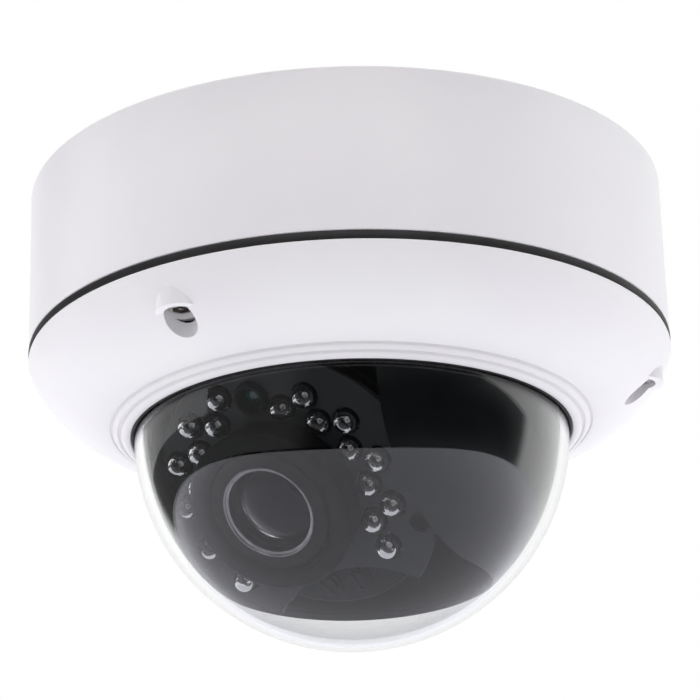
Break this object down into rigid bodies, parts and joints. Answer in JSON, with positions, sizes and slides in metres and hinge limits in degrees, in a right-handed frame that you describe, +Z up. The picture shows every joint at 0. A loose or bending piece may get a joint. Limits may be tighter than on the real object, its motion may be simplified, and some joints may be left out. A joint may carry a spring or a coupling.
{
  "type": "dome cctv camera",
  "caption": "Ceiling dome camera: round white base and cover, clear bubble, and a pan, tilt and roll lens head with infrared LEDs.",
  "frame": {"origin": "centre of the ceiling face of the base", "axes": "+Z points up into the ceiling, so the dome hangs towards -Z; the cover screw beside -Y is nearest the viewer and the lens rests 33 degrees from -Y towards -X"},
  "size_m": [0.145, 0.145, 0.1061],
  "materials": {
    "white_paint": "fine-textured white powder coat",
    "white_plastic": "satin white moulded plastic",
    "black_rubber": "matt black rubber",
    "clear_dome": "clear polished polycarbonate",
    "zinc_steel": "bright zinc plated steel",
    "dark_steel": "blackened stainless steel",
    "brass": "turned brass",
    "board_green": "solder masked circuit board",
    "board_black": "black solder masked circuit board",
    "chip_black": "moulded epoxy",
    "terminal_green": "green nylon",
    "liner_black": "smooth dark plastic",
    "head_black": "fine-grained black plastic",
    "lens_black": "black anodised",
    "lens_glass": "coated optical glass",
    "led_clear": "clear epoxy",
    "sensor_smoke": "dark glossy epoxy",
    "plate_grey": "fine-grained dark grey plastic",
    "hood_rubber": "soft matt rubber"
  },
  "bodies": {
    "base": {"base_housing": "white_paint", "cable_grommet": "black_rubber", "conduit_plug": "white_plastic", "conduit_washer": "black_rubber", "thread_inserts": "brass", "body_gasket": "black_rubber", "dome_cover": "white_paint", "cover_screws": "zinc_steel", "screw_seals": "black_rubber", "dome_bubble": "clear_dome", "bubble_seal": "black_rubber", "bubble_clamp_ring": "dark_steel", "clamp_ring_screws": "zinc_steel", "board_standoffs": "brass", "main_board": "board_green", "board_screws": "zinc_steel", "board_components": "chip_black", "terminal_block": "terminal_green", "gimbal_plate": "zinc_steel", "gimbal_plate_screws": "zinc_steel"},
    "pan": {"pan_turntable": "head_black", "pan_retainer": "zinc_steel", "pan_retainer_screws": "zinc_steel", "yoke": "dark_steel", "yoke_screws": "zinc_steel", "inner_liner": "liner_black", "liner_screws": "zinc_steel"},
    "pan_lock": {"pan_lock_screw": "dark_steel"},
    "tilt": {"tilt_ring": "head_black", "tilt_washers": "brass"},
    "tilt_knob_right": {"tilt_knob_right": "dark_steel"},
    "tilt_knob_left": {"tilt_knob_left": "dark_steel"},
    "roll": {"lens_holder": "head_black", "roll_retainer": "head_black", "roll_retainer_screws": "zinc_steel", "lens_mount": "head_black", "sensor_board": "board_green", "sensor_board_screws": "zinc_steel", "image_sensor": "chip_black", "board_socket": "white_plastic", "lens_barrel": "lens_black", "rear_glass": "lens_glass", "iris_plate": "lens_black", "led_posts": "brass", "led_tray": "plate_grey", "led_adjusters": "zinc_steel", "led_board": "board_black", "leds": "led_clear", "light_sensor": "sensor_smoke", "led_plate": "plate_grey", "led_plate_screws": "zinc_steel", "lens_hood": "hood_rubber"},
    "zoom": {"zoom_ring": "lens_black"},
    "zoom_lock": {"zoom_lock_screw": "zinc_steel"},
    "focus": {"focus_ring": "lens_black"},
    "focus_lock": {"focus_lock_screw": "zinc_steel"},
    "front_group": {"front_barrel": "lens_black", "middle_glass": "lens_glass", "front_glass": "lens_glass", "front_bezel": "lens_black"}
  },
  "joints": [
    {"name": "pan", "type": "hinge", "parent": "base", "child": "pan", "pos_m": [0, 0, 0], "axis": [0, 0, 1], "range_deg": [-175, 175]},
    {"name": "tilt", "type": "hinge", "parent": "pan", "child": "tilt", "pos_m": [0, 0, -0.057], "axis": [0.8377, -0.5461, 0], "range_deg": [-27, 48]},
    {"name": "roll", "type": "hinge", "parent": "tilt", "child": "roll", "pos_m": [0, 0, -0.057], "axis": [-0.4084, -0.6264, -0.6639], "range_deg": [-90, 90]},
    {"name": "zoom", "type": "hinge", "parent": "roll", "child": "zoom", "pos_m": [-0.00721, -0.00557, -0.06464], "axis": [-0.4084, -0.6264, -0.6639], "range_deg": [-40, 40]},
    {"name": "focus", "type": "hinge", "parent": "roll", "child": "focus", "pos_m": [-0.01088, -0.0112, -0.07061], "axis": [-0.4084, -0.6264, -0.6639], "range_deg": [-60, 60]},
    {"name": "focus_travel", "type": "slide", "parent": "roll", "child": "front_group", "axis": [-0.4084, -0.6264, -0.6639], "range_m": [-0.0012, 0.0012]},
    {"name": "pan_lock_turn", "type": "hinge", "parent": "pan", "child": "pan_lock", "pos_m": [0.01802, 0.02764, 0], "axis": [0, 0, 1], "range_deg": [-180, 180]},
    {"name": "tilt_knob_right_turn", "type": "hinge", "parent": "tilt", "child": "tilt_knob_right", "pos_m": [0, 0, -0.057], "axis": [0.8377, -0.5461, 0], "range_deg": [-180, 180]},
    {"name": "tilt_knob_left_turn", "type": "hinge", "parent": "tilt", "child": "tilt_knob_left", "pos_m": [0, 0, -0.057], "axis": [0.8377, -0.5461, 0], "range_deg": [-180, 180]},
    {"name": "zoom_lock_turn", "type": "hinge", "parent": "zoom", "child": "zoom_lock", "pos_m": [-0.00721, -0.00557, -0.06464], "axis": [-0.9068, 0.1948, 0.3739], "range_deg": [-180, 180]},
    {"name": "focus_lock_turn", "type": "hinge", "parent": "focus", "child": "focus_lock", "pos_m": [-0.01088, -0.0112, -0.07061], "axis": [0.2607, -0.7771, 0.5728], "range_deg": [-180, 180]}
  ],
  "couplings": [
    {"joint": "focus_travel", "follows": "focus", "m_per_rad": 0.00095}
  ]
}
